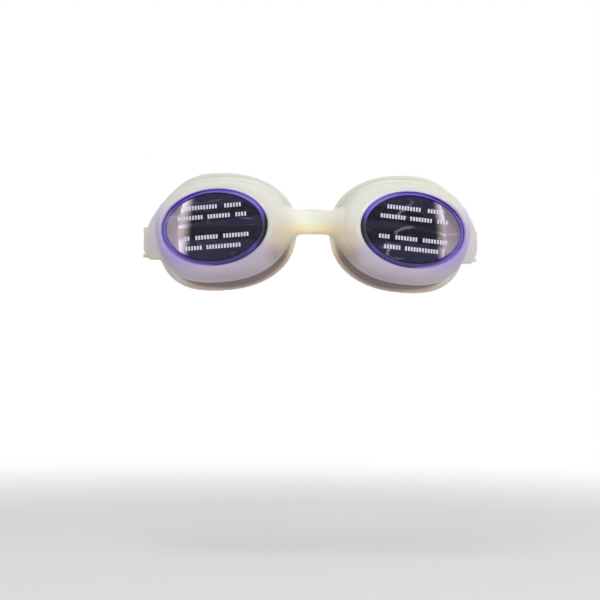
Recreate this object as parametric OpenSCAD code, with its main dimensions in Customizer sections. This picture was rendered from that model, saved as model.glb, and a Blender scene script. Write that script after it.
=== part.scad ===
// Swimming goggles: a one-piece silicone frame with two tinted lenses, a film on
// each lens, and a split silicone strap held by a release buckle at each temple.
// Millimetres. +Z is up, the front faces -Y and the wearer's head lies towards +Y.
// The origin is on the middle plane, where the wearer's nose root lies, level with
// the lens centres. "left" is the wearer's left, at +X.

/* [Lenses] */
// Distance between the two lens centres
lens_spacing = 88.4; // [87:0.1:92]
// Width of the raised lens, along the lens
lens_w = 47.4; // [43:0.1:49]
// Height of the raised lens
lens_h = 33.6; // [29:0.1:36]
// How far each lens turns outward, in degrees
lens_wrap = 10; // [6:0.5:13]
// How far each lens drops towards the temple, in degrees
lens_tilt = 4.5; // [0:0.5:8]
// Thickness of the lens front
lens_t = 1.8; // [1.4:0.1:2.2]
// Height of the raised lens above its flange
lens_rise = 3.0; // [2.6:0.1:3.6]
// Width of the sloping edge round the lens front
lens_bevel = 1.5; // [0.8:0.1:2]
// Slope of the wall inside the lens
lens_draft = 0.4; // [0.2:0.05:0.8]
// Thickness of the flange that the silicone holds
flange_t = 1.3; // [1:0.1:1.6]
// How far the flange reaches into the silicone
flange_w = 1.7; // [1.2:0.1:1.9]

/* [Protective film] */
// Thickness of the film
film_t = 0.2; // [0.1:0.05:0.4]
// Margin between the film and the edge of the lens front
film_margin = 0.5; // [0.3:0.1:1.5]

/* [Silicone frame] */
// Width of silicone beyond the lens at the nose side
body_nose = 9; // [7:0.1:9.5]
// Width of silicone beyond the lens at the temple side
body_temple = 3; // [2.6:0.1:4]
// Width of silicone above the lens
body_top = 5.4; // [4:0.1:7]
// Width of silicone below the lens
body_bottom = 7; // [5:0.1:8.5]
// How far the sealing skirt reaches beyond the body at the nose
skirt_nose = 4.2; // [3:0.1:4.4]
// How far the sealing skirt reaches beyond the body at the temple
skirt_temple = 0.1; // [0:0.1:0.5]
// How far the sealing skirt reaches beyond the body at the top
skirt_top = 4.4; // [2.5:0.1:5.5]
// How far the sealing skirt reaches beyond the body at the bottom
skirt_bottom = 3.3; // [2:0.1:5]
// Thickness of the sealing lip
lip_t = 1.5; // [1.2:0.1:2]
// Width of the lip that turns inward at the temple
lip_temple = 10; // [4:0.5:10.5]
// How far the neck between body and skirt draws in
neck_in = 2.6; // [1:0.1:2.8]
// Distance of the lens front in front of the nose root
lens_front = 12; // [11:0.1:14]
// Depth of the seal behind the nose root, on the middle plane
face_set = 3.5; // [2:0.1:5]
// Height of the nose bridge
bridge_h = 10.6; // [8:0.1:13]
// Thickness of the nose bridge
bridge_t = 5.2; // [4:0.1:6.5]
// Distance of the bridge in front of the nose root
bridge_back = 4.2; // [3:0.1:5]
// How far the bridge widens upward at each cup
flare_up = 1.6; // [0.5:0.1:2.5]
// How steeply the bridge widens downward to each cup
flare_down = 1.2; // [0.9:0.05:1.3]
// Thickness of the strap arm at its eyelet
arm_t = 2.8; // [2.4:0.1:3.2]
// Rise of the arm's rounded outside over the eyelet
arm_brow = 2.5; // [1.6:0.1:2.8]
// Height of the strap arm at its eyelet
arm_h = 13.4; // [12.6:0.1:14.6]
// Length of silicone behind the eyelet
eyelet_bar = 2.8; // [2.2:0.1:4]

/* [Strap] */
// Width of the strap
strap_w = 10.8; // [9:0.1:11.6]
// Thickness of the strap
strap_t = 1.4; // [1.2:0.1:1.8]
// Upward slope of the strap towards the back of the head, in degrees
strap_pitch = 10; // [5:0.5:14]
// Length of the toothed strap from the eyelet to its plain elastic stretch
toothed_l = 52; // [48:0.5:56]
// Length of the plain stretch before the strap splits in two
plain_l = 28; // [20:0.5:34]
// Depth of the curve round the back of the head
loop_depth = 92; // [80:1:100]
// Width of the slit between the strands where it starts
slit_w = 0.8; // [0.5:0.1:1.2]
// How far each strand spreads at the back of the head
strand_spread = 1.6; // [0:0.1:4]
// Length of the free tail behind the roller bar
tail_l = 52; // [48:0.5:56]
// Height of the strap teeth
tooth_h = 0.6; // [0.4:0.05:0.7]
// Distance between two strap teeth
tooth_pitch = 2.5; // [2:0.1:3.5]
// How far each side of the strap can be drawn in
adjust_l = 15; // [10:0.5:16]
// Width of the keeper loop along the strap
keeper_l = 5; // [4:0.1:6]
// Distance of the keeper loop behind the eyelet
keeper_at = 49; // [48:0.5:50]
// Wall of the keeper loop
keeper_wall = 1.0; // [0.8:0.1:1.4]

/* [Buckle] */
// Length of the buckle from the eyelet to its rear end
buckle_l = 29; // [28:0.5:30]
// Thickness of the buckle's base
base_t = 1.2; // [1:0.1:1.6]
// Thickness of the buckle's side walls
wall_t = 1.6; // [1.3:0.1:2]
// Height of the side walls above the base
wall_h = 6; // [5.5:0.1:6.4]
// Diameter of the roller bar
bar_d = 2.4; // [2:0.1:3]
// Length of the hook along the strap
hook_l = 3; // [2.4:0.1:3.6]
// Height of the hook, across the strap
hook_w = 5; // [4.4:0.1:5.6]
// How far the hook's tee stands out above and below
tee_reach = 1.6; // [1.2:0.1:1.8]
// Thickness of the hook's tee
tee_t = 1; // [0.8:0.1:1.2]
// Diameter of the lever's trunnions
trunnion_d = 2; // [1.6:0.1:2.4]
// Thickness of the release lever
lever_t = 1.6; // [1.3:0.1:2]
// Length of the lever's finger pad behind the trunnions
pad_l = 10.5; // [9:0.5:12]
// Rise of the finger pad's end above the trunnions
pad_rise = 2.2; // [2:0.1:3]

/* [Clearances] */
// Clearance between parts that are fitted and stay still
fit = 0.1; // [0.05:0.01:0.15]
// Radial clearance of the lever's trunnions
running = 0.05; // [0.03:0.01:0.1]
// Clearance beside the strap in its buckle and keeper
slide = 0.15; // [0.1:0.05:0.25]
// Thickness of the film's layer of tack
tack = 0.05; // [0.03:0.01:0.1]

/* [Hidden] */

// Steps round an oval ring, and fineness of the round parts.
ring_steps = 60;
round_fn = 48;

// Shape of the wearer's face, which the seal follows.
face_curve = 0.0029;
face_lean = 0.05;

// Lens and silicone borders as [nose, temple, up, down].
lens_half = [lens_w / 2, lens_w / 2, lens_h / 2, lens_h / 2];
body = [body_nose, body_temple, body_top, body_bottom];
skirt = [skirt_nose, skirt_temple, skirt_top, skirt_bottom];
neck = neck_in * [1, 0.18, 1, 1];
lens_x = lens_spacing / 2;
back_d = lens_rise + flange_t;

// The arm's end, seen in the strap's own frame: x outward, y along the strap.
eyelet_gap = 0.4;
eyelet_l = hook_l + 2 * eyelet_gap;
arm_end = hook_l + eyelet_gap + eyelet_bar;
arm_y = lens_front + 9.5;
arm_z = -6;
shoulder_h = 3;
shoulder_w = hook_w + 2 * tee_reach + 2;
arm_in = shoulder_h + fit;
arm_out = arm_in + arm_t;
temple_x = lens_x + (lens_w / 2 + body_temple) * cos(lens_wrap);
base_x = temple_x - 2;

// Heights above the base's inner face, outward from the head.
run_in = base_t + slide;
bar_u = run_in + strap_t + fit + bar_d / 2;
run_out = bar_u + bar_d / 2 + fit;
teeth_top = run_out + strap_t + tooth_h;
strap_x = base_x + run_in + strap_t / 2;
roll_r = bar_d / 2 + fit + strap_t;
bar_v = arm_end + 0.8 + roll_r;
wall_v = arm_end + 0.6;
inner_h = strap_w + 2 * slide;
buckle_h = inner_h + 2 * wall_t;
pivot_v = bar_v + 8;
pivot_u = teeth_top + 0.3 + trunnion_d / 2;
side_v = toothed_l;
loop_v = toothed_l + plain_l;
strand_w = (strap_w - slit_w) / 2;

// Points of the ovals. The temple side is +x here, for the wearer's left, and q and full say
// how far the corners fill out: upper nose, upper temple, lower temple, lower nose.
body_full = [0.3, 0.4, 0.5, 0.3];
seal_full = [0.3, 0.12, 0.5, 0.25];
function oval(t, r, q = 0, full = body_full) =
    let (
        c = cos(t), s = sin(t),
        e = 2 / (2 + q * full[s < 0 ? (c < 0 ? 3 : 2) : (c < 0 ? 0 : 1)])
    )
    [
        sign(c) * pow(abs(c), e) * (c < 0 ? r[0] : r[1]),
        sign(s) * pow(abs(s), e) * (s < 0 ? r[3] : r[2])
    ];
function turned(p, a) = [p[0] * cos(a) + p[1] * sin(a), p[1] * cos(a) - p[0] * sin(a)];
function mix(a, b, m) = a * (1 - m) + b * m;
function face_y(x, z) = face_set + face_curve * x * x - face_lean * z;

// A point on an outline grown from the lens, d behind the lens front.
function lens_point(t, grow, d, q = 0) =
    let (p = turned(oval(t, lens_half + grow, q), lens_tilt))
    [
        lens_x + p[0] * cos(lens_wrap) - d * sin(lens_wrap),
        -lens_front + p[0] * sin(lens_wrap) + d * cos(lens_wrap),
        p[1]
    ];

// A point on the seal's outline, drawn in by inset and lifted off the face by lift.
function seal_point(t, inset, lift) =
    let (p = oval(t, lens_half + body + skirt - inset, 1, seal_full))
    [lens_x + p[0], face_y(lens_x + p[0], p[1]) - lift, p[1]];

function lens_ring(grow, d, q = 0) =
    [for (i = [0 : ring_steps - 1]) lens_point(i * 360 / ring_steps, grow, d, q)];
function seal_ring(inset, lift) =
    [for (i = [0 : ring_steps - 1]) seal_point(i * 360 / ring_steps, inset, lift)];
function mixed_ring(grow, d, inset, lift, m) = [
    for (i = [0 : ring_steps - 1])
        let (t = i * 360 / ring_steps)
        mix(lens_point(t, grow, d, 1), seal_point(t, inset, lift), m)
];
function all(v) = [v, v, v, v];

// A solid ring skinned through closed sections.
module tube_loft(rings) {
    n = len(rings);
    m = len(rings[0]);
    polyhedron(
        points = [for (r = rings) each r],
        faces = [
            for (i = [0 : n - 1], j = [0 : m - 1])
                let (a = i * m, b = (i + 1) % n * m, k = (j + 1) % m)
                each [[a + j, b + k, b + j], [a + j, a + k, b + k]]
        ],
        convexity = 8
    );
}

// A solid skinned through sections, closed at both ends by a fan on its centre.
module capped_loft(rings) {
    n = len(rings);
    m = len(rings[0]);
    ends = [for (r = [rings[0], rings[n - 1]]) [for (k = [0 : 2]) centre(r, k)]];
    polyhedron(
        points = concat([for (r = rings) each r], ends),
        faces = concat(
            [
                for (i = [0 : n - 2], j = [0 : m - 1])
                    let (a = i * m, b = (i + 1) * m, k = (j + 1) % m)
                    each [[a + j, b + k, b + j], [a + j, a + k, b + k]]
            ],
            [for (j = [0 : m - 1]) [n * m, (j + 1) % m, j]],
            [for (j = [0 : m - 1]) [n * m + 1, (n - 1) * m + j, (n - 1) * m + (j + 1) % m]]
        ),
        convexity = 4
    );
}
function centre(r, k) = sum([for (p = r) p[k]]) / len(r);
function sum(v, i = 0) = i == len(v) ? 0 : v[i] + sum(v, i + 1);

// Draws for one side: +1 is the wearer's left, -1 the wearer's right.
module on_side(side) {
    if (side > 0) children();
    else mirror([1, 0, 0]) children();
}

// The strap's own frame at one temple: x outward from the buckle's base,
// y back along the strap from the eyelet, z across the strap.
module at_strap(side) {
    on_side(side)
        translate([base_x, arm_y, arm_z])
            rotate([strap_pitch, 0, 0]) children();
}

// Lens, with its raised bevelled front, flange and hollow back
module lens() {
    inner = all(-lens_draft - lens_t);
    capped_loft([
        lens_ring(all(-lens_bevel), 0),
        lens_ring(all(0), lens_rise),
        lens_ring(all(flange_w), lens_rise),
        lens_ring(all(flange_w), back_d),
        lens_ring(all(-lens_t), back_d),
        lens_ring(inner, lens_t)
    ]);
}
module left_lens() { color("mediumpurple", 0.6) on_side(1) lens(); }
module right_lens() { color("mediumpurple", 0.6) on_side(-1) lens(); }

// Peel-off film on the flat lens front
module film() {
    grow = all(-lens_bevel - film_margin);
    capped_loft([lens_ring(grow, -tack - film_t), lens_ring(grow, -tack)]);
}
module left_film() { color("lavender", 0.4) on_side(1) film(); }
module right_film() { color("lavender", 0.4) on_side(-1) film(); }

// Eye cup: front lip, rounded body, neck and sealing skirt round a lens groove
module cup() {
    seat = flange_w + fit;
    groove_in = lens_rise - fit;
    groove_out = back_d + fit;
    tube_loft([
        lens_ring(all(fit), groove_in),
        lens_ring(all(fit), 1.6),
        lens_ring(all(1.1), 0.9),
        lens_ring(body * 0.55, 1.3, 0.5),
        lens_ring(body * 0.85, 2.8, 0.8),
        mixed_ring(body, 5, all(3), 6, 0.12),
        mixed_ring(body * 0.97, 7.6, all(3), 5, 0.3),
        mixed_ring(body - neck, 9.2, all(3) + neck * 0.7, 4, 0.45),
        mixed_ring(body - neck * 0.7, 10.6, all(2) + neck * 0.46, 2.8, 0.68),
        seal_ring(all(0.9), 1.7),
        seal_ring(all(0), 0.5),
        seal_ring(all(0.5), 0),
        seal_ring([lip_t, lip_temple, lip_t, lip_t], 0.3),
        seal_ring([lip_t + 1, lip_temple + 0.2, lip_t + 1, lip_t + 1], 1.3),
        seal_ring([3.2, 4.2, 3.2, 3.2], 1.9),
        mixed_ring(all(1.4), 11, all(3.4), 2, 0.8),
        mixed_ring(all(0.9), 8, all(4) + neck * 0.45, 2, 0.35),
        lens_ring(all(-0.4), groove_out + 1.2),
        lens_ring(all(-0.4), groove_out),
        lens_ring(all(seat), groove_out),
        lens_ring(all(seat), groove_in)
    ]);
}

// Rounded section, t wide and h high
function rounded(t, h) = [
    for (i = [0 : 31])
        let (a = i * 360 / 32, c = cos(a), s = sin(a))
        [t / 2 * sign(c) * pow(abs(c), 0.6), h / 2 * sign(s) * pow(abs(s), 0.6)]
];

// Nose bridge, which sweeps forward and widens into each cup
module bridge() {
    edge = lens_w / 2 + body_nose * 0.45;
    reach = lens_x - edge * cos(lens_wrap);
    sweep = lens_front + edge * sin(lens_wrap) - 1.9 - bridge_back - bridge_t;
    steps = 24;
    capped_loft([
        for (i = [0 : steps])
            let (
                x = reach * (1 - 2 * i / steps),
                m = min(1, abs(x) / 14.5),
                front = -bridge_back - bridge_t - sweep * pow(sin(90 * m), 2),
                rear = mix(-bridge_back, -6.1, pow(m, 2.4)),
                top = 3.1 + bridge_h / 2 + flare_up * eased(abs(x), 7, 13.5),
                low = 3.1 - bridge_h / 2 - min(11.6, flare_down * ramp(abs(x), 6.6, 0.5))
            )
            [
                for (p = rounded(rear - front, top - low))
                    [x, (rear + front) / 2 + p[0], (top + low) / 2 + p[1]]
            ]
    ]);
}
function eased(x, low, high) = let (t = min(1, max(0, (x - low) / (high - low)))) t * t * (3 - 2 * t);
function ramp(x, start, soft) = (x - start + norm([x - start, 2 * soft])) / 2;

// Strap arm: a wing with a rounded outside, which narrows from the side of the cup to its
// eyelet. Each section is [along the strap, inner face, outer face, middle across the strap,
// height above arm_h, bow]. The faces are shares of the way from root to eyelet, and bow
// says how far the section follows the round side of the cup.
module arm() {
    root = temple_x - base_x;
    sections = [
        [-22, -0.35, -0.16, 8.8, 12.6, 1],
        [-18.5, -0.05, 0.14, 8, 11.6, 1],
        [-16, 0.2, 0.3, 7.1, 10, 0.97],
        [-13, 0.45, 0.47, 6.1, 8.2, 0.85],
        [-9.5, 0.72, 0.68, 4.8, 6, 0.6],
        [-6, 0.93, 0.86, 3.4, 3.6, 0.28],
        [-3, 1, 0.97, 2.3, 1.6, 0.06],
        [-1, 1, 1, 1.8, 0.4, 0],
        [0.5, 1, 0.985, 1.7, 0, 0],
        [hook_l + eyelet_gap, 1, 0.88, 1.6, -0.4, 0],
        [arm_end - 1.2, 1, 0.73, 1.4, -1.2, 0],
        [arm_end, 1.1, 0.52, 1.2, -2.8, 0]
    ];
    translate([base_x, arm_y, arm_z]) rotate([strap_pitch, 0, 0]) difference() {
        capped_loft([
            for (s = sections)
                let (
                    inner = mix(root - 1.8, arm_in, s[1]),
                    outer = mix(root - 0.2, arm_out + arm_brow, s[2])
                )
                [
                    for (p = wing(inner, outer, arm_h + s[4]))
                        [p[0] - s[5] * bow(s[0], s[3] + p[1]), s[0], s[3] + p[1]]
                ]
        ]);
        eyelet();
    }
}
// Slot for the hook, with a wider pocket outside for its tee
module eyelet() {
    slot = hook_w / 2 + eyelet_gap;
    pocket = slot + tee_reach;
    translate([0, eyelet_l - eyelet_gap, 0]) rotate([90, 0, 0]) linear_extrude(eyelet_l)
        polygon([
            [0, -slot], [arm_out, -slot], [arm_out, -pocket], [20, -pocket],
            [20, pocket], [arm_out, pocket], [arm_out, slot], [0, slot]
        ]);
}
// Section with a flat inner face and a domed outer one
function wing(inner, outer, h) =
    let (edge = inner + min(1, 0.4 * (outer - inner)))
    [
        for (i = [0 : 31])
            let (a = i * 360 / 32, c = cos(a), s = sin(a))
            [
                c > 0 ? mix(edge, outer, pow(c, 0.9)) : mix(edge, inner, pow(-c, 0.5)),
                h / 2 * sign(s) * pow(abs(s), 0.8)
            ]
    ];
// How far the side of the cup has curved inward at a place along and across the strap
function bow(v, w) =
    let (
        z = arm_z + v * sin(strap_pitch) + w * cos(strap_pitch),
        h = lens_h / 2 + (z < 0 ? body_bottom : body_top),
        n = 2 + body_full[z < 0 ? 2 : 1]
    )
    (lens_w / 2 + body_temple) * (1 - pow(max(0, 1 - pow(abs(z) / h, n)), 1 / n));

module silicone_frame() {
    color("ghostwhite") union() {
        for (side = [1, -1]) on_side(side) {
            cup();
            arm();
        }
        bridge();
    }
}

// Buckle: base, shoulder and tee hook for the arm, side walls and roller bar
module buckle() {
    difference() {
        union() {
            translate([0, -0.6, -buckle_h / 2]) cube([base_t, buckle_l + 0.6, buckle_h]);
            translate([0, -0.6, -shoulder_w / 2]) cube([shoulder_h, arm_end + 0.6, shoulder_w]);
            translate([shoulder_h - 1, 0, -hook_w / 2])
                cube([arm_out + fit + tee_t - shoulder_h + 1, hook_l, hook_w]);
            translate([arm_out + fit, 0, -hook_w / 2 - tee_reach])
                cube([tee_t, hook_l, hook_w + 2 * tee_reach]);
            for (s = [-1, 1]) translate([0, 0, s * (inner_h + wall_t) / 2]) side_wall();
            translate([bar_u, bar_v, -inner_h / 2 - wall_t / 2])
                cylinder(d = bar_d, h = inner_h + wall_t, $fn = round_fn);
        }
        translate([pivot_u, pivot_v, -buckle_h])
            cylinder(r = trunnion_d / 2 + running, h = 2 * buckle_h, $fn = round_fn);
    }
}
module side_wall() {
    ear_r = trunnion_d / 2 + 1.3;
    translate([0, 0, -wall_t / 2]) {
        linear_extrude(wall_t) polygon([
            [0, wall_v],
            [base_t + wall_h, wall_v],
            [base_t + wall_h, pivot_v + 3.4],
            [base_t + wall_h - 3, buckle_l - 1],
            [base_t, buckle_l],
            [0, buckle_l]
        ]);
        translate([pivot_u, pivot_v, 0]) cylinder(r = ear_r, h = wall_t, $fn = round_fn);
        translate([base_t, pivot_v - ear_r, 0])
            cube([pivot_u - base_t, 2 * ear_r, wall_t]);
    }
}
module left_buckle() { color("antiquewhite") at_strap(1) buckle(); }
module right_buckle() { color("antiquewhite") at_strap(-1) buckle(); }

// Release lever: pawl over the strap teeth, trunnions and ribbed finger pad
module lever() {
    lever_h = inner_h - 2 * slide;
    nose_v = bar_v + 1.4;
    under = pivot_u - lever_t / 2;
    pad_v = pivot_v + pad_l;
    translate([0, 0, -lever_h / 2]) linear_extrude(lever_h) polygon([
        [under, nose_v + 2.4],
        [teeth_top + 0.1, nose_v + 1.8],
        [teeth_top + 0.1, nose_v],
        [under + lever_t * 0.6, nose_v],
        [under + lever_t, nose_v + 1],
        [under + lever_t, pivot_v + 1],
        [under + lever_t + pad_rise * 0.45, pivot_v + pad_l * 0.5],
        [under + lever_t + pad_rise, pad_v - 0.6],
        [under + lever_t + pad_rise - 0.5, pad_v],
        [under + pad_rise, pad_v - 0.2],
        [under + pad_rise * 0.45, pivot_v + pad_l * 0.5],
        [under, pivot_v + 1.4]
    ]);
    translate([pivot_u, pivot_v, -buckle_h / 2])
        cylinder(d = trunnion_d, h = buckle_h, $fn = round_fn);
    for (i = [0 : 3])
        let (s = 0.56 + 0.13 * i)
        translate([under + lever_t + pad_rise * (s - 0.12), pivot_v + pad_l * s, -lever_h / 2 + 1])
            cylinder(d = 0.9, h = lever_h - 2, $fn = 16);
}
module left_lever() { color("white") at_strap(1) lever(); }
module right_lever() { color("white") at_strap(-1) lever(); }

// Strap rolled round the bar, with the straight that the moving end slides over
module strap_roll() {
    translate([bar_u, bar_v, -strap_w / 2]) rotate([0, 0, 180])
        rotate_extrude(angle = 180, $fn = round_fn)
            translate([bar_d / 2 + fit, 0]) square([strap_t, strap_w]);
    translate([run_in, bar_v, -strap_w / 2]) cube([strap_t, adjust_l, strap_w]);
}
module left_strap_roll() { color("seashell") at_strap(1) strap_roll(); }
module right_strap_roll() { color("seashell") at_strap(-1) strap_roll(); }

// Teeth along a strap run, on the side given by out
module teeth(from, to, u, out) {
    count = floor((to - from) / tooth_pitch);
    for (i = [0 : count - 1])
        translate([u, from + (i + 0.5) * tooth_pitch, -strap_w / 2 + 0.8])
            linear_extrude(strap_w - 1.6)
                polygon([[-0.2 * out, -0.7], [tooth_h * out, -0.3], [tooth_h * out, 0.3], [-0.2 * out, 0.7]]);
}

// Toothed strap end that slides in the buckle
module strap_end() {
    from = bar_v + adjust_l;
    translate([run_in, from, -strap_w / 2]) cube([strap_t, side_v - from, strap_w]);
}
module left_strap_end() { color("seashell") at_strap(1) strap_end(); }
module right_strap_end() { color("seashell") at_strap(-1) strap_end(); }

// Free tail, toothed on the outside, which runs back through the keeper
module strap_tail() {
    end_r = 3;
    translate([run_out, bar_v, -strap_w / 2])
        cube([strap_t, tail_l - end_r, strap_w]);
    hull() for (s = [-1, 1])
        translate([run_out, bar_v + tail_l - end_r, s * (strap_w / 2 - end_r)])
            rotate([0, 90, 0]) cylinder(r = end_r, h = strap_t, $fn = round_fn);
    teeth(bar_v, bar_v + tail_l - 4, run_out + strap_t, 1);
}
module left_strap_tail() { color("seashell") at_strap(1) strap_tail(); }
module right_strap_tail() { color("seashell") at_strap(-1) strap_tail(); }

// Loop that keeps the tail beside the strap
module keeper() {
    low = run_in - slide;
    high = teeth_top + slide;
    difference() {
        translate([low - keeper_wall, keeper_at - keeper_l / 2, -inner_h / 2 - keeper_wall])
            cube([high - low + 2 * keeper_wall, keeper_l, inner_h + 2 * keeper_wall]);
        translate([low, keeper_at - keeper_l, -inner_h / 2])
            cube([high - low, 2 * keeper_l, inner_h]);
    }
}
module left_keeper() { color("ivory") at_strap(1) keeper(); }
module right_keeper() { color("ivory") at_strap(-1) keeper(); }

// Plain elastic stretch of the strap before it splits
module strap_side() {
    translate([run_in, side_v, -strap_w / 2]) cube([strap_t, plain_l, strap_w]);
}
module left_strap_side() { color("seashell") at_strap(1) strap_side(); }
module right_strap_side() { color("seashell") at_strap(-1) strap_side(); }

// One strand round the back of the head: +1 is the upper strand, -1 the lower
module strand(up) {
    steps = 48;
    translate([0, arm_y, arm_z]) rotate([strap_pitch, 0, 0]) capped_loft([
        for (i = [0 : steps])
            let (
                a = 180 * i / steps,
                n = [cos(a) / strap_x, sin(a) / loop_depth] / norm([cos(a) / strap_x, sin(a) / loop_depth]),
                p = [strap_x * cos(a), loop_v + loop_depth * sin(a)],
                z = up * ((strand_w + slit_w) / 2 + strand_spread * pow(sin(a), 2))
            )
            [
                for (c = [[-1, -1], [1, -1], [1, 1], [-1, 1]])
                    [
                        p[0] + n[0] * c[0] * strap_t / 2,
                        p[1] + n[1] * c[0] * strap_t / 2,
                        z + c[1] * strand_w / 2
                    ]
            ]
    ]);
}
module upper_strand() { color("seashell") strand(1); }
module lower_strand() { color("seashell") strand(-1); }

silicone_frame();
left_lens();
right_lens();
left_film();
right_film();
left_buckle();
right_buckle();
left_lever();
right_lever();
left_strap_roll();
right_strap_roll();
left_strap_end();
right_strap_end();
left_strap_tail();
right_strap_tail();
left_keeper();
right_keeper();
left_strap_side();
right_strap_side();
upper_strand();
lower_strand();
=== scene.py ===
import math

import bmesh
import bpy
import numpy as np
from mathutils import Matrix, Vector


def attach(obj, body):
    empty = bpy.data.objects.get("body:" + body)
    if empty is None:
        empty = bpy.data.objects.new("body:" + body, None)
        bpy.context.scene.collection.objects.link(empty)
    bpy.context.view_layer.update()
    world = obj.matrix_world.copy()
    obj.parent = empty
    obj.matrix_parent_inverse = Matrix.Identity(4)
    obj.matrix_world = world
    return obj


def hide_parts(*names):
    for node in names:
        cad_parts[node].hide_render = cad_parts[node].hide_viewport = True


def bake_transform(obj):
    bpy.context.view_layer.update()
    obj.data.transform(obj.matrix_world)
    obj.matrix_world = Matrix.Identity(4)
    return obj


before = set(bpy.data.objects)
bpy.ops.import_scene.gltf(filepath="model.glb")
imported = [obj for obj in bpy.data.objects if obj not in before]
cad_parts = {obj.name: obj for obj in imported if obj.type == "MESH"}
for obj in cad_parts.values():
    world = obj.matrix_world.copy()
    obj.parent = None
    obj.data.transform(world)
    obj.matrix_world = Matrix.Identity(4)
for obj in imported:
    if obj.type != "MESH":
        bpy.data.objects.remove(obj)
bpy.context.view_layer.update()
scene = bpy.context.scene
scene.view_settings.view_transform = "Standard"

# Camera, fitted to the outlines of both lenses. Degrees, metres and shares of the frame.
viewpoint = {
    "aim": (0, -0.012, 0), "distance": 0.6,
    "azimuth": -1.73, "elevation": -5.63, "roll": -0.64,
    "lens": 81.84, "sensor": 36, "shiftX": -0.02335, "shiftY": -0.11985, "clip": (0.01, 20),
}


def placeCamera(v):
    azimuth, elevation, roll = (math.radians(v[k]) for k in ("azimuth", "elevation", "roll"))
    back = Vector((math.sin(azimuth) * math.cos(elevation),
                   -math.cos(azimuth) * math.cos(elevation), math.sin(elevation)))
    right = Vector((math.cos(azimuth), math.sin(azimuth), 0))
    up = back.cross(right)
    across = right * math.cos(roll) - up * math.sin(roll)
    upward = right * math.sin(roll) + up * math.cos(roll)
    data = bpy.data.cameras.new("camera")
    data.lens, data.sensor_width = v["lens"], v["sensor"]
    data.shift_x, data.shift_y = v["shiftX"], v["shiftY"]
    data.clip_start, data.clip_end = v["clip"]
    camera = bpy.data.objects.new("camera", data)
    scene.collection.objects.link(camera)
    place = Vector(v["aim"]) + back * v["distance"]
    camera.matrix_world = Matrix((
        (across.x, upward.x, back.x, place.x),
        (across.y, upward.y, back.y, place.y),
        (across.z, upward.z, back.z, place.z),
        (0, 0, 0, 1)))
    scene.camera = camera


placeCamera(viewpoint)
print("camera placed")


# Small helpers for material nodes.
def colour(r, g, b):
    # a screen colour, 0 to 255, as the shader wants it
    line = [v / 255 for v in (r, g, b)]
    return tuple(v / 12.92 if v <= 0.04045 else ((v + 0.055) / 1.055) ** 2.4 for v in line) + (1,)


def add(tree, kind, values=None, **settings):
    made = tree.nodes.new("ShaderNode" + kind)
    for key, value in settings.items():
        setattr(made, key, value)
    for key, value in (values or {}).items():
        if isinstance(value, bpy.types.NodeSocket):
            tree.links.new(value, made.inputs[key])
        else:
            made.inputs[key].default_value = value
    return made


def calc(tree, operation, *values):
    made = add(tree, "Math", dict(enumerate(values)), operation=operation)
    return made.outputs[0]


def soften(tree, value, low, high, toLow=0.0, toHigh=1.0):
    # a smooth step of value between low and high
    made = add(tree, "MapRange", {0: value, 1: low, 2: high, 3: toLow, 4: toHigh},
               interpolation_type="SMOOTHSTEP")
    return made.outputs[0]


def spansOf(tree, look):
    # a smooth step between the two values that the look keeps under a name
    return lambda value, name: soften(tree, value, *look[name])


def product(tree, first, *others):
    for other in others:
        first = calc(tree, "MULTIPLY", first, other)
    return first


def towards(tree, a, b, shares):
    # how far a place at a and b lies in the direction that the two shares give
    return calc(tree, "MULTIPLY_ADD", a, shares[0], calc(tree, "MULTIPLY", b, shares[1]))


def tint(tree, share, below, above):
    made = add(tree, "Mix", {0: share, 6: below, 7: above}, data_type="RGBA")
    return made.outputs[2]


def objectPlace(tree):
    return add(tree, "TexCoord").outputs["Object"]


def noise(tree, scale, detail=3.0, stretch=(1, 1, 1)):
    place = add(tree, "VectorMath", {0: objectPlace(tree), 1: stretch}, operation="MULTIPLY").outputs[0]
    made = add(tree, "TexNoise", {"Vector": place, "Scale": scale, "Detail": detail})
    return made.outputs[0]


def newMaterial(name):
    material = bpy.data.materials.new(name)
    material.use_nodes = True
    tree = material.node_tree
    tree.nodes.clear()
    out = add(tree, "OutputMaterial")
    shader = add(tree, "BsdfPrincipled")
    tree.links.new(shader.outputs[0], out.inputs["Surface"])
    return material, tree, shader


def bumpy(tree, shader, height, depth, strength):
    made = add(tree, "Bump", {"Height": height, "Distance": depth, "Strength": strength})
    tree.links.new(made.outputs[0], shader.inputs["Normal"])


def varied(tree, shader, socket, pattern, low, high, spread=(0.3, 0.7)):
    # a finish that goes from low to high with a pattern
    tree.links.new(soften(tree, pattern, *spread, low, high), shader.inputs[socket])


def scattering(shader, weight, scale, radius):
    shader.inputs["Subsurface Weight"].default_value = weight
    shader.inputs["Subsurface Scale"].default_value = scale
    shader.inputs["Subsurface Radius"].default_value = radius


# Lens sizes in mm, the same as in the part's source.
lens = {
    "x": 44.2, "front": 12, "half": (23.7, 23.7, 16.8, 16.8),  # nose, temple, up, down
    "meanHalf": 20, "wrap": math.radians(10), "tilt": math.radians(4.5),
    "rise": 3.0, "bevel": 1.5, "flange": 1.7, "flangeBack": 4.3,
    "thick": 1.8, "draft": 0.4, "steps": 160,
}


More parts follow.
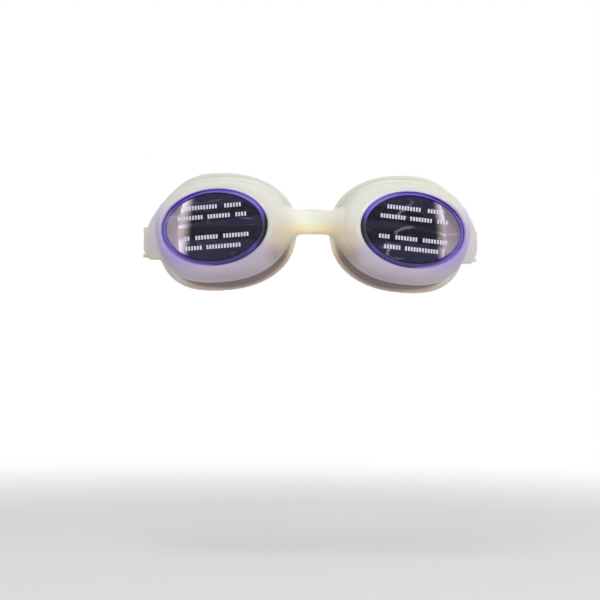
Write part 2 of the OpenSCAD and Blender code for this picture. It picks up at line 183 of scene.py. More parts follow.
def lensPlace(tree):
    # mm outside the lens outline, the place across and up in lens halves, and mm behind the lens front
    place = add(tree, "SeparateXYZ", {0: objectPlace(tree)}).outputs
    x = calc(tree, "MULTIPLY_ADD", calc(tree, "ABSOLUTE", place[0]), 1000, -lens["x"])
    y = calc(tree, "MULTIPLY_ADD", place[1], 1000, lens["front"])
    z = calc(tree, "MULTIPLY", place[2], 1000)
    c, s = math.cos(lens["wrap"]), math.sin(lens["wrap"])
    along, deep = towards(tree, x, y, (c, s)), towards(tree, x, y, (-s, c))
    c, s = math.cos(lens["tilt"]), math.sin(lens["tilt"])
    across = calc(tree, "DIVIDE", towards(tree, along, z, (c, -s)), lens["half"][0])
    up = calc(tree, "DIVIDE", towards(tree, along, z, (s, c)), lens["half"][2])
    far = calc(tree, "SQRT", calc(tree, "MULTIPLY_ADD", across, across, calc(tree, "MULTIPLY", up, up)))
    outside = calc(tree, "MULTIPLY_ADD", far, lens["meanHalf"], -lens["meanHalf"])
    return outside, across, up, deep


# Silicone of the frame: milky, with painted violet light from the lens edges, painted light and painted
# shade in places, and warmth under the bridge.
# Beside each colour is where it starts and where it is full: across and up in lens halves from the
# lens centre, outside and deep in mm, side and height in metres. Two more numbers are the least and
# the most of it.
silicone = {
    "milk": colour(218, 217, 206),
    # painted light: the bridge lighter than the cups
    "bridgeLight": colour(232, 233, 215), "bridgeLightAcross": (-1.25, -1.55),
    "haze": colour(218, 213, 217), "hazeAcross": (0.6, 1.25), "hazeDeep": (32, 12),
    # painted shade: the lower half of the cups greyer and tinged violet; the random cloud uses the same
    # colour
    "shadeAndCloud": colour(180, 171, 185), "lowShadeUp": (-0.1, -0.8), "lowShadeOutside": (16, 5),
    "lowShadeAcross": (1.25, 1.0, 0.35, 1.0), "cloud": 90, "cloudShare": 0.1,
    # painted shade below the lens, where the cup turns downward
    "under": colour(172, 160, 172), "underShadeUp": (-0.9, -1.45), "underShadeAcross": (0.9, -0.6, 0.2, 1.0),
    # painted violet light from the lens edges on the silicone round them, most at the lower temple
    "violet": colour(152, 136, 200), "violetGlowOutside": (6, 0.2), "violetGlowDeep": (9, 3),
    "violetGlowAcross": (0.05, 0.9, 0.1, 0.95), "violetGlowLow": (-0.35, 0.85, 0.15, 0.95),
    "lowTemple": (0.45, -0.75),  # the way to the lower temple corner, across and up
    # painted highlight on the upper lip round the lens edge
    "rimHighlight": colour(255, 250, 255), "rimHighlightOutside": (1.8, 0.5), "rimHighlightUp": (0.1, 0.5),
    "rimHighlightAcross": (0.85, 0.45),
    "warm": colour(244, 222, 168), "warmHeight": (0.003, -0.0008), "warmSide": (0.019, 0.011),
    "warmShare": 0.75,
    # painted shade, tan, on the nose-side flank below the bridge, darker lower down
    "flankShade": colour(198, 184, 166), "flankShadeNose": (-0.85, -1.15), "flankShadeEnd": (-1.65, -1.38),
    "flankShadeHeight": (0.008, -0.006), "flankShadeShare": 0.88,
    "flankShadeLow": colour(164, 145, 137), "flankShadeLowHeight": (-0.005, -0.012),
    # painted lilac light through the lens on the silicone inside the lens outline
    "inner": colour(232, 216, 250), "innerOutside": (-0.5, -2.0),
    # the neck behind the cup body and the lip behind that, on faces that turn away from the lens centre:
    # painted shade in the neck, darkest in the crease low down, painted light on both near the nose, and
    # painted shade on the lip low down
    "outerTurn": (-0.3, -0.02), "skirtAcross": (1.12, 1.0), "backLean": (1, 0.84), "lowLean": (0.25, 1),
    "noseAcross": (-0.9, -1.2), "noseUp": (0.1, -0.25),
    # painted shade in the neck behind the body, with painted light where it meets the nose side
    "neck": colour(206, 207, 195), "neckNoseLight": colour(238, 210, 172), "neckBack": (9.5, 13),
    # painted shade, darkest, in the crease low down
    "neckShare": 0.85, "creaseShade": colour(118, 100, 94), "creaseShadeLow": (-0.62, -1.2),
    # painted light on the lip at the nose side; painted shade, pinkish, on the lip low down
    "lipNoseLight": colour(255, 246, 226), "lipBack": (17.4, 19.8), "lipShare": 0.9,
    "lip": colour(204, 184, 174), "lipLowShade": (-0.85, -1.3),
    "roughness": (0.41, 0.53), "roughScale": 400, "ior": 1.41,
    "scatter": 0.35, "depth": 0.003, "radius": (1.0, 0.9, 0.85),
    "grain": 700, "grainDepth": 0.00003, "grainShare": 0.6,
}


def siliconeMaterial(look):
    material, tree, shader = newMaterial("milky silicone")
    outside, across, up, deep = lensPlace(tree)
    place = add(tree, "SeparateXYZ", {0: objectPlace(tree)}).outputs
    side, height = calc(tree, "ABSOLUTE", place[0]), place[2]
    turn = add(tree, "SeparateXYZ", {0: add(tree, "TexCoord").outputs["Normal"]}).outputs
    outward = product(tree, turn[0], calc(tree, "SIGN", place[0]), across)
    span = spansOf(tree, look)
    outer = span(calc(tree, "MULTIPLY_ADD", turn[2], up, outward), "outerTurn")
    # painted light on the bridge
    base = tint(tree, span(across, "bridgeLightAcross"), look["milk"], look["bridgeLight"])
    haze = product(tree, span(across, "hazeAcross"), span(deep, "hazeDeep"))
    base = tint(tree, haze, base, look["haze"])
    # painted shade on the lower half of the cups
    shadeAndCloud = product(tree, span(up, "lowShadeUp"), span(outside, "lowShadeOutside"), span(across, "lowShadeAcross"))
    base = tint(tree, shadeAndCloud, base, look["shadeAndCloud"])
    # painted shade where the cup turns downward
    under = product(tree, span(up, "underShadeUp"), span(across, "underShadeAcross"))
    base = tint(tree, under, base, look["under"])
    # painted violet light from the lens edges
    low = towards(tree, across, up, look["lowTemple"])
    violet = product(tree, span(outside, "violetGlowOutside"), span(deep, "violetGlowDeep"),
                     span(across, "violetGlowAcross"), span(low, "violetGlowLow"))
    base = tint(tree, violet, base, look["violet"])
    # painted highlight on the upper lip round the lens edge
    rimHighlight = product(tree, span(outside, "rimHighlightOutside"), span(up, "rimHighlightUp"), span(across, "rimHighlightAcross"))
    base = tint(tree, rimHighlight, base, look["rimHighlight"])
    warm = product(tree, span(height, "warmHeight"), span(side, "warmSide"), outer, look["warmShare"])
    base = tint(tree, warm, base, look["warm"])
    # painted shade, tan, on the nose-side flank, darker lower down
    flankShade = product(tree, span(across, "flankShadeNose"), span(across, "flankShadeEnd"),
                    span(height, "flankShadeHeight"), outer, look["flankShadeShare"])
    flankShadeTone = tint(tree, span(height, "flankShadeLowHeight"), look["flankShade"], look["flankShadeLow"])
    base = tint(tree, flankShade, base, flankShadeTone)
    # painted lilac light through the lens inside the lens outline
    base = tint(tree, span(outside, "innerOutside"), base, look["inner"])
    # random cloud towards the painted shade colour
    cloud = calc(tree, "MULTIPLY", noise(tree, look["cloud"]), look["cloudShare"])
    base = tint(tree, cloud, base, look["shadeAndCloud"])
    skirt = calc(tree, "MULTIPLY", span(across, "skirtAcross"), outer)
    back = towards(tree, deep, up, look["backLean"])
    lower = towards(tree, across, up, look["lowLean"])
    nearNose = calc(tree, "MULTIPLY", span(across, "noseAcross"), span(up, "noseUp"))
    # the neck: painted shade, with painted light near the nose
    neck = tint(tree, nearNose, look["neck"], look["neckNoseLight"])
    # darkest painted shade in the crease low down
    neck = tint(tree, span(lower, "creaseShadeLow"), neck, look["creaseShade"])
    base = tint(tree, product(tree, span(back, "neckBack"), skirt, look["neckShare"]), base, neck)
    # the lip: painted light at the nose, painted shade low down
    lip = tint(tree, nearNose, look["milk"], look["lipNoseLight"])
    lip = tint(tree, span(lower, "lipLowShade"), lip, look["lip"])
    base = tint(tree, product(tree, span(back, "lipBack"), skirt, look["lipShare"]), base, lip)
    tree.links.new(base, shader.inputs["Base Color"])
    varied(tree, shader, "Roughness", noise(tree, look["roughScale"]), *look["roughness"])
    scattering(shader, look["scatter"], look["depth"], look["radius"])
    shader.inputs["IOR"].default_value = look["ior"]
    bumpy(tree, shader, noise(tree, look["grain"], 4), look["grainDepth"], look["grainShare"])
    return material


# What the strap, keepers, buckles and levers share where their own look doesn't say otherwise
plastic = {
    "cloud": 160, "cloudShare": (0.2, 0.9), "roughScale": 500, "smoother": 0.04, "rougher": 0.08,
    "depth": 0.0015, "radius": (1.0, 0.9, 0.8),
    "grain": 1200, "grainDepth": 0.00002, "grainShare": 0.5,
}


def plasticMaterial(name, look):
    look = {**plastic, **look}
    material, tree, shader = newMaterial(name)
    cloud = soften(tree, noise(tree, look["cloud"]), *look["cloudShare"])
    tree.links.new(tint(tree, cloud, look["base"], look["shade"]), shader.inputs["Base Color"])
    low, high = look["roughness"] - look["smoother"], look["roughness"] + look["rougher"]
    varied(tree, shader, "Roughness", noise(tree, look["roughScale"]), low, high)
    scattering(shader, look["scatter"], look["depth"], look["radius"])
    bumpy(tree, shader, noise(tree, look["grain"], 4), look["grainDepth"], look["grainShare"])
    return material


# Plain soft studio: pale floor far below, white behind, and soft lamps.
studio = {
    "floor": -0.15, "floorSize": 3.0, "floorSides": 96, "paleFrom": (0.22, 0.7),
    "floorColour": (0.86, 0.86, 0.86, 1), "floorGrain": (0.8428, 0.8428, 0.8428, 1),
    "grainScale": 30, "floorRough": 0.9, "floorGloss": 0.1, "sky": 0.42,
    "lamps": [  # place, power in watts, size
        ((-0.15, -0.85, 1.15), 7.0, 0.9),
        ((1.0, -0.6, 0.35), 3.4, 0.8),
        ((0.1, 1.0, 0.9), 2.5, 0.9),
        ((0.0, -1.4, 0.15), 4.0, 0.6),
    ],
}


def seenDirectly(tree):
    path = add(tree, "LightPath").outputs
    either = calc(tree, "MAXIMUM", path["Is Camera Ray"], path["Is Glossy Ray"])
    return calc(tree, "MAXIMUM", either, path["Is Transmission Ray"])


def makeStudio(s):
    world = bpy.data.worlds.new("studio")
    world.use_nodes = True
    scene.world = world
    tree = world.node_tree
    tree.nodes.clear()
    light = add(tree, "Background", {"Color": (1, 1, 1, 1), "Strength": s["sky"]})
    white = add(tree, "Background", {"Color": (1, 1, 1, 1), "Strength": 1.0})
    both = add(tree, "MixShader", {0: seenDirectly(tree), 1: light.outputs[0], 2: white.outputs[0]})
    add(tree, "OutputWorld", {"Surface": both.outputs[0]})

    plan = bmesh.new()
    bmesh.ops.create_circle(plan, cap_ends=True, segments=s["floorSides"], radius=s["floorSize"])
    mesh = bpy.data.meshes.new("floor")
    plan.to_mesh(mesh)
    plan.free()
    floor = bpy.data.objects.new("floor", mesh)
    floor.location.z = s["floor"]
    scene.collection.objects.link(floor)
    material, tree, shader = newMaterial("pale floor")
    grain = tint(tree, noise(tree, s["grainScale"]), s["floorColour"], s["floorGrain"])
    tree.links.new(grain, shader.inputs["Base Color"])
    shader.inputs["Roughness"].default_value = s["floorRough"]
    shader.inputs["Specular IOR Level"].default_value = s["floorGloss"]
    far = add(tree, "VectorMath", {0: objectPlace(tree)}, operation="LENGTH").outputs["Value"]
    share = calc(tree, "MULTIPLY", soften(tree, far, *s["paleFrom"]), seenDirectly(tree))
    white = add(tree, "Emission", {"Color": (1, 1, 1, 1), "Strength": 1.0})
    both = add(tree, "MixShader", {0: share, 1: shader.outputs[0], 2: white.outputs[0]})
    out = [n for n in tree.nodes if n.type == "OUTPUT_MATERIAL"][0]
    tree.links.new(both.outputs[0], out.inputs["Surface"])
    mesh.materials.append(material)

    for number, (place, power, size) in enumerate(s["lamps"]):
        data = bpy.data.lights.new(f"lamp{number}", "AREA")
        data.shape, data.size, data.energy = "DISK", size, power
        lamp = bpy.data.objects.new(f"lamp{number}", data)
        scene.collection.objects.link(lamp)
        lamp.location = place
        lamp.rotation_euler = (-Vector(place)).to_track_quat("-Z", "Y").to_euler()


makeStudio(studio)
print("studio lit")


# Mesh helpers. Shapes are worked out in mm and stored in metres.
weldWithin = 1e-7  # metres


def piece(name, points, faces, material, smooth=True):
    mesh = bpy.data.meshes.new(name)
    mesh.from_pydata((np.asarray(points) / 1000).tolist(), [], faces)
    shape = bmesh.new()
    shape.from_mesh(mesh)
    bmesh.ops.remove_doubles(shape, verts=shape.verts, dist=weldWithin)
    bmesh.ops.recalc_face_normals(shape, faces=shape.faces)
    shape.to_mesh(mesh)
    shape.free()
    for side in mesh.polygons:
        side.use_smooth = smooth
    made = bpy.data.objects.new(name, mesh)
    scene.collection.objects.link(made)
    if material:
        mesh.materials.append(material)
    return made


def skinned(rings, joined):
    # points and faces of sections in a row: joined end to start, or closed by a flat face at each end
    rings = np.asarray(rings)
    n, m = rings.shape[:2]
    faces = []
    for i in range(n if joined else n - 1):
        a, b = i * m, (i + 1) % n * m
        faces += [(a + j, a + (j + 1) % m, b + (j + 1) % m, b + j) for j in range(m)]
    if not joined:
        faces += [tuple(range(m))[::-1], tuple(range((n - 1) * m, n * m))]
    return rings.reshape(-1, 3), faces


def between(sections, per):
    # smooth sections between the given ones, spaced by how far apart those are
    p = np.asarray(sections, float)
    steps = np.diff(p, axis=0).reshape(len(p) - 1, -1, p.shape[-1])
    gap = np.sqrt(np.linalg.norm(steps, axis=2).mean(1))
    at = np.concatenate([[0], np.cumsum(gap)])
    p = np.concatenate([[2 * p[0] - p[1]], p, [2 * p[-1] - p[-2]]])
    at = np.concatenate([[-gap[0]], at, [at[-1] + gap[-1]]])
    out = []
    for i in range(1, len(p) - 2):
        t0, t1, t2, t3 = at[i - 1:i + 3]
        for t in np.linspace(t1, t2, per, endpoint=False):
            a = [((t2 - t) * u + (t - t1) * v) / (t2 - t1) for u, v, t1, t2 in (
                (p[i - 1], p[i], t0, t1), (p[i], p[i + 1], t1, t2), (p[i + 1], p[i + 2], t2, t3))]
            b = [((t2 - t) * a[0] + (t - t0) * a[1]) / (t2 - t0),
                 ((t3 - t) * a[1] + (t - t1) * a[2]) / (t3 - t1)]
            out.append(((t2 - t) * b[0] + (t - t1) * b[1]) / (t2 - t1))
    return np.array(out + [p[-2]])


def modify(made, kind, **settings):
    added = made.modifiers.new(kind.lower(), kind)
    for key, value in settings.items():
        setattr(added, key, value)


def settle(made):
    # the modifiers' result becomes the piece's own mesh
    bpy.context.view_layer.update()
    done = bpy.data.meshes.new_from_object(made.evaluated_get(bpy.context.evaluated_depsgraph_get()))
    made.modifiers.clear()
    made.data = done
    for side in done.polygons:
        side.use_smooth = True


def mirrored(points, side):
    return np.asarray(points) * (side, 1, 1)


# Eye cup, in mm: how far its body stands outside the lens and its skirt outside the body. The lip
# follows y = faceSet + faceCurve * x * x - faceLean * z.
cup = {
    "nose": 9, "temple": 3, "top": 5.4, "bottom": 7,
    "skirt": (4.2, 0.1, 4.4, 3.3), "lip": 1.5, "lipTemple": 10, "neck": 2.6,
    "faceSet": 3.5, "faceCurve": 0.0029, "faceLean": 0.05,
    # how far corners fill out: upper nose, upper temple, lower temple, lower nose
    "bodyFull": (0.3, 0.4, 0.5, 0.3), "sealFull": (0.3, 0.12, 0.5, 0.25),
    "steps": 200, "per": 4, "voxel": 0.38, "smoothing": 9,
}


def oval(steps, r, q=0.0, full=None):
    # r is the reach to nose, temple, up and down; q is the share of the corners' filling out
    t = np.arange(steps) * 2 * np.pi / steps
    c, s = np.cos(t), np.sin(t)
    full = full or cup["bodyFull"]
    full = np.where(s < 0, np.where(c < 0, full[3], full[2]), np.where(c < 0, full[0], full[1]))
    e = 2 / (2 + q * full)
    return np.stack([np.sign(c) * np.abs(c) ** e * np.where(c < 0, r[0], r[1]),
                     np.sign(s) * np.abs(s) ** e * np.where(s < 0, r[3], r[2])], 1)


def lensToWorld(p, d):
    # p is (across, up) in mm on the level lens, d the depth behind its front
    ca, sa = math.cos(lens["tilt"]), math.sin(lens["tilt"])
    p = np.stack([p[:, 0] * ca + p[:, 1] * sa, p[:, 1] * ca - p[:, 0] * sa], 1)
    cw, sw = math.cos(lens["wrap"]), math.sin(lens["wrap"])
    return np.stack([lens["x"] + p[:, 0] * cw - d * sw,
                     -lens["front"] + p[:, 0] * sw + d * cw, p[:, 1]], 1)


def lensRing(grow, d, q=0.0, steps=None):
    r = np.array(lens["half"]) + grow
    return lensToWorld(oval(steps or cup["steps"], r, q), d)


def bodyReach():
    return np.array([cup["nose"], cup["temple"], cup["top"], cup["bottom"]])


def sealRing(inset, lift):
    r = np.array(lens["half"]) + bodyReach() + cup["skirt"] - inset
    p = oval(cup["steps"], r, 1, cup["sealFull"])
    x, z = lens["x"] + p[:, 0], p[:, 1]
    return np.stack([x, cup["faceSet"] + cup["faceCurve"] * x * x - cup["faceLean"] * z - lift, z], 1)


def mixedRing(grow, d, inset, lift, m):
    # between a ring that follows the lens and one that follows the lip, by share m
    return lensRing(grow, d, 1) * (1 - m) + sealRing(inset, lift) * m


def cupSolid():
    body = bodyReach()
    neck = cup["neck"] * np.array([1, 0.18, 1, 1])
    lip = np.array([cup["lip"], cup["lipTemple"], cup["lip"], cup["lip"]])
    seat, into, out = lens["flange"] + 0.1, lens["rise"] - 0.1, lens["flangeBack"] + 0.1
    # from the lens over the body to the neck and the lip, then back inside to the lens seat
    shell = between([
        lensRing(0.1, 1.6), lensRing(1.1, 0.9), lensRing(body * 0.55, 1.3, 0.5),
        lensRing(body * 0.85, 2.8, 0.8), mixedRing(body, 5, 3, 6, 0.12),
        mixedRing(body * 0.97, 7.6, 3, 5, 0.3),
        mixedRing(body - neck, 9.2, 3 + neck * 0.7, 4, 0.45),
        mixedRing(body - neck * 0.7, 10.6, 2 + neck * 0.46, 2.8, 0.68),
        sealRing(0.9, 1.7), sealRing(0, 0.5), sealRing(0.5, 0), sealRing(lip, 0.3),
        sealRing(lip + np.array([1, 0.2, 1, 1]), 1.3), sealRing(np.array([3.2, 4.2, 3.2, 3.2]), 1.9),
        mixedRing(1.4, 11, 3.4, 2, 0.8), mixedRing(0.9, 8, 4 + neck * 0.45, 2, 0.35),
        lensRing(-0.4, out + 1.2),
    ], cup["per"])
    pocket = [lensRing(-0.4, out), lensRing(seat, out), lensRing(seat, into)]
    return skinned([lensRing(0.1, into), *shell, *pocket], True)


def rounded(t, h, count=64):
    # a soft-cornered section, t thick and h high
    a = np.arange(count) * 2 * np.pi / count
    c, s = np.cos(a), np.sin(a)
    return np.stack([t / 2 * np.sign(c) * np.abs(c) ** 0.6, h / 2 * np.sign(s) * np.abs(s) ** 0.6], 1)


# Nose bridge, which sweeps forward and flares into the cups
bridge = {
    "height": 10.6, "thick": 5.2, "middleZ": 3.1, "back": 4.2, "into": 0.45,
    "sweepAt": 14.5, "sweepFront": 5.5, "sweepBack": 1.9, "sweepPower": 2.4,
    "flareUp": (1.6, 7, 13.5), "steps": 72,  # size, from x, to x
    "flareDown": (1.2, 6.6, 0.5, 11.6),  # slope, from x, softness, most
}


def eased(x, low, high):
    t = min(1, max(0, (x - low) / (high - low)))
    return t * t * (3 - 2 * t)


def bridgeSolid(b):
    reach = lens["x"] - (lens["half"][0] + cup["nose"] * b["into"]) * math.cos(lens["wrap"])
    rings = []
    for x in np.linspace(reach, -reach, b["steps"] + 1):
        m = min(1, abs(x) / b["sweepAt"])
        front = -b["back"] - b["thick"] - b["sweepFront"] * math.sin(math.pi / 2 * m) ** 2
        rear = -b["back"] - b["sweepBack"] * m ** b["sweepPower"]
        size, start, end = b["flareUp"]
        top = b["middleZ"] + b["height"] / 2 + size * eased(abs(x), start, end)
        slope, start, soft, most = b["flareDown"]
        out = abs(x) - start
        drop = slope * (out + math.sqrt(out * out + 4 * soft * soft)) / 2
        low = b["middleZ"] - b["height"] / 2 - min(drop, most)
        p = rounded(rear - front, top - low)
        rings.append(np.stack([np.full(len(p), x), (rear + front) / 2 + p[:, 0],
                               (top + low) / 2 + p[:, 1]], 1))
    return skinned(rings, False)


# The strap's own frame at each temple: u outward, v back along the strap, w across it, all in mm.
strap = {
    "baseX": 68.495, "armY": 21.5, "armZ": -6, "pitch": math.radians(10),
    "width": 10.8, "thick": 1.4, "centreX": 70.545, "runIn": 1.35, "runOut": 5.35,
    "barU": 4.05, "barV": 9.7, "barReach": 2.0, "drawIn": 15, "seamV": 49, "sideV": 52, "loopV": 80,
    "loopDepth": 92, "slit": 0.8, "spread": 1.6, "tail": 52, "tipRound": 3, "tipThin": 0.7,
    "toothPitch": 2.5, "toothHigh": 0.6, "toothFoot": 0.6, "toothShoulder": 0.34, "toothTop": 0.24,
    "toothSide": (0.55, 0.85), "corner": 0.35,
    "turnTuck": 0.04, "turnThin": 0.1,  # how much narrower and thinner the turn is than the strap
    "look": {"base": colour(222, 216, 202), "shade": colour(212, 204, 188), "roughness": 0.42,
             "scatter": 0.35, "grain": 800, "grainDepth": 0.00003},
}


def strapToWorld(p, side):
    p = np.asarray(p, float)
    c, s = math.cos(strap["pitch"]), math.sin(strap["pitch"])
    return np.stack([side * (strap["baseX"] + p[..., 0]),
                     strap["armY"] + p[..., 1] * c - p[..., 2] * s,
                     strap["armZ"] + p[..., 1] * s + p[..., 2] * c], -1)


# Strap arm: sections are along the strap, inner and outer face, middle and height across, and how far
# the arm follows the side of the cup there.
arm = {
    "sections": (
        (-23.5, 0.2, 1.8, 8.8, 26, 1), (-20, 0.3, 2.6, 8.2, 25.4, 1), (-16.5, 0.8, 3.6, 7.2, 23.6, 0.97),
        (-13, 1.5, 4.9, 6.1, 21.6, 0.85), (-9.5, 2.3, 6.3, 4.8, 19.4, 0.6),
        (-6, 2.9, 7.5, 3.4, 17, 0.28),
        (-3, 3.1, 8.2, 2.3, 15, 0.06), (-1, 3.1, 8.4, 1.8, 13.8, 0), (0.5, 3.1, 8.3, 1.7, 13.4, 0),
        (3.4, 3.1, 7.6, 1.6, 13, 0), (5, 3.1, 6.6, 1.4, 12.2, 0), (6.2, 3.4, 5.2, 1.2, 10.6, 0)),
    # from, to and half height; the pocket has its floor too
    "slot": (-0.4, 3.4, 2.9), "pocket": (-0.4, 3.4, 4.5, 5.9), "cutTo": 20, "per": 5,
}


def wing(inner, outer, h, count=64):
    # a section with a flat inner face and a domed outer one
    a = np.arange(count) * 2 * np.pi / count
    c, s = np.cos(a), np.sin(a)
    edge = inner + min(1, 0.4 * (outer - inner))
    u = np.where(c > 0, edge + (outer - edge) * np.abs(c) ** 0.9,
                 edge - (edge - inner) * np.abs(c) ** 0.5)
    return np.stack([u, h / 2 * np.sign(s) * np.abs(s) ** 0.8], 1)


def bow(v, w):
    # how far the side of the cup lies inward of its widest place, at v along and w across
    z = strap["armZ"] + v * math.sin(strap["pitch"]) + w * math.cos(strap["pitch"])
    h = lens["half"][2] + np.where(z < 0, cup["bottom"], cup["top"])
    n = 2 + np.where(z < 0, cup["bodyFull"][2], cup["bodyFull"][1])
    left = np.maximum(0, 1 - (np.abs(z) / h) ** n)
    return (lens["half"][0] + cup["temple"]) * (1 - left ** (1 / n))


def armSolid(a, side):
    rings = []
    for v, inner, outer, middle, high, follow in between([[r] for r in a["sections"]], a["per"])[:, 0]:
        p = wing(inner, outer, high)
        across = middle + p[:, 1]
        p = np.stack([p[:, 0] - follow * bow(v, across), np.full(len(p), v), across], 1)
        rings.append(strapToWorld(p, side))
    return skinned(rings, False)


def boxSolid(low, high, side):
    # a box in the strap's own frame
    u, v, w = zip(low, high)
    faces = [(0, 1, 3, 2), (4, 6, 7, 5), (0, 4, 5, 1), (2, 3, 7, 6), (0, 2, 6, 4), (1, 5, 7, 3)]
    return strapToWorld([(a, b, c) for a in u for b in v for c in w], side), faces


def makeFrame():
    parts = []
    for side in (1, -1):
        points, faces = cupSolid()
        parts.append(piece("cup", mirrored(points, side), faces, None))
        holder = piece("arm", *armSolid(arm, side), None)
        for low, high, half, floor in ((*arm["slot"], 0), arm["pocket"]):
            block = boxSolid((floor, low, -half), (arm["cutTo"], high, half), side)
            cutter = piece("cutter", *block, None)
            modify(holder, "BOOLEAN", object=cutter, operation="DIFFERENCE", solver="EXACT")
            settle(holder)
            bpy.data.objects.remove(cutter)
        parts.append(holder)
    parts.append(piece("bridge", *bridgeSolid(bridge), None))
    whole = bmesh.new()
    for part in parts:
        whole.from_mesh(part.data)
        bpy.data.objects.remove(part)
    mesh = bpy.data.meshes.new("siliconeMoulding")
    whole.to_mesh(mesh)
    whole.free()
    made = bpy.data.objects.new("siliconeMoulding", mesh)
    scene.collection.objects.link(made)
    modify(made, "REMESH", mode="VOXEL", voxel_size=cup["voxel"] / 1000)
    modify(made, "SMOOTH", factor=0.5, iterations=cup["smoothing"])
    settle(made)
    made.data.materials.append(siliconeMaterial(silicone))
    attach(made, "frame")
    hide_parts("silicone_frame")
    print("silicone frame:", len(made.data.polygons), "faces")


makeFrame()


# Finish of the lens and its edge. Beside each colour is where it starts and where it is full, in lens
# halves, or in mm for outside. A lean is the way across and up that is meant.
lensLook = {
    "ior": 1.58,
    "smoke": colour(51, 49, 68), "smokeDark": colour(40, 40, 57), "smear": 60, "smearShare": (0.3, 0.8),
    "pale": colour(250, 238, 255), "paleTemple": (0.4, 0.64), "templeLean": (1, 0.12),
    "gloss": (0.12, 0.12, 0.16, 1), "polish": (0.015, 0.05),
    "edge": colour(116, 94, 208),
    # painted light on the temple side of the edge
    "edgeLitTemple": colour(134, 116, 206), "lightAcross": (0.1, 0.9),
    "edgeDeep": colour(72, 34, 182), "deepCorner": (0.82, 0.97), "upperTemple": (0.6, 0.8),
    # painted light on the upper nose side of the edge
    "edgeUpperLight": colour(144, 122, 222), "highAcross": (-0.2, -0.55), "highUp": (0.25, 0.6),
    # painted shade on the lower edge
    "edgeLowShade": colour(84, 70, 142), "lowUp": (-0.45, -0.8),
    # painted reflection: paler violet at the lower temple corner
    "edgeReflection": colour(160, 143, 218), "reflectionCorner": (0.78, 0.93), "reflectionOutside": (-0.9, -0.5),
    "lowerTemple": (0.6, -0.8),
    "edgeDark": colour(46, 42, 56), "darkNose": (-0.78, -0.93), "noseLean": (0.95, 0.22),
    "edgeClear": 0.35, "edgePolish": (0.06, 0.14), "edgeGrain": 300,
}


def lensFaceMaterial(look):
    # the tint fades towards the temple edge
    material, tree, shader = newMaterial("violet lens")
    across, up = lensPlace(tree)[1:3]
    smear = noise(tree, look["smear"], 5)
    fade = soften(tree, towards(tree, across, up, look["templeLean"]), *look["paleTemple"])
    smoke = tint(tree, soften(tree, smear, *look["smearShare"]), look["smoke"], look["smokeDark"])
    tree.links.new(tint(tree, fade, smoke, look["pale"]), shader.inputs["Base Color"])
    varied(tree, shader, "Roughness", smear, *look["polish"], (0.3, 0.75))
    shader.inputs["Transmission Weight"].default_value = 1.0
    shader.inputs["IOR"].default_value = look["ior"]
    shader.inputs["Specular Tint"].default_value = look["gloss"]
    return material


def lensEdgeMaterial(look):
    # violet, deep at the upper temple corner, with painted light on the temple side and at the upper
    # nose, a painted reflection below the temple corner, painted shade low down, and dark at the nose
    material, tree, shader = newMaterial("deep violet lens edge")
    outside, across, up = lensPlace(tree)[:3]
    span = spansOf(tree, look)
    # painted light towards the temple side
    base = tint(tree, span(across, "lightAcross"), look["edge"], look["edgeLitTemple"])
    upper = towards(tree, across, up, look["upperTemple"])
    base = tint(tree, span(upper, "deepCorner"), base, look["edgeDeep"])
    # painted light on the upper nose side
    high = product(tree, span(across, "highAcross"), span(up, "highUp"))
    base = tint(tree, high, base, look["edgeUpperLight"])
    # painted shade on the lower edge
    base = tint(tree, span(up, "lowUp"), base, look["edgeLowShade"])
    # painted reflection at the lower temple corner
    lower = towards(tree, across, up, look["lowerTemple"])
    pale = product(tree, span(lower, "reflectionCorner"), span(outside, "reflectionOutside"))
    base = tint(tree, pale, base, look["edgeReflection"])
    nose = towards(tree, across, up, look["noseLean"])
    base = tint(tree, span(nose, "darkNose"), base, look["edgeDark"])
    tree.links.new(base, shader.inputs["Base Color"])
    varied(tree, shader, "Roughness", noise(tree, look["edgeGrain"]), *look["edgePolish"])
    shader.inputs["Transmission Weight"].default_value = look["edgeClear"]
    shader.inputs["IOR"].default_value = look["ior"]
    return material


# Lens: flat front, rounded bevel, flange and hollow back
def lensSolid():
    b, n, rise, flange, back = (lens[k] for k in ("bevel", "steps", "rise", "flange", "flangeBack"))
    thick, inner = lens["thick"], -lens["thick"] - lens["draft"]
    slope = math.hypot(b, rise)
    # how far outside the lens outline, and how far behind the lens front
    rows = [(-b - 0.3, 0.0), (-b - 0.12, 0.02), (-b + 0.02, 0.1),
            (-b + 0.3 * b / slope, 0.3 * rise / slope), (-0.05, rise - 0.1),
            (0.12, rise), (flange - 0.15, rise), (flange, rise + 0.15),
            (flange, back - 0.15), (flange - 0.15, back),
            (-thick + 0.1, back), (-thick, back - 0.1),
            (inner + 0.03, thick + 0.15), (inner - 0.12, thick)]
    points, faces = skinned([lensRing(g, d, 0, n) for g, d in rows], False)
    # the flat front and back are clear, and the faces round them have the edge's material
    kinds = [1 if n <= k < (len(rows) - 1) * n else 0 for k in range(len(faces))]
    return points, faces, kinds


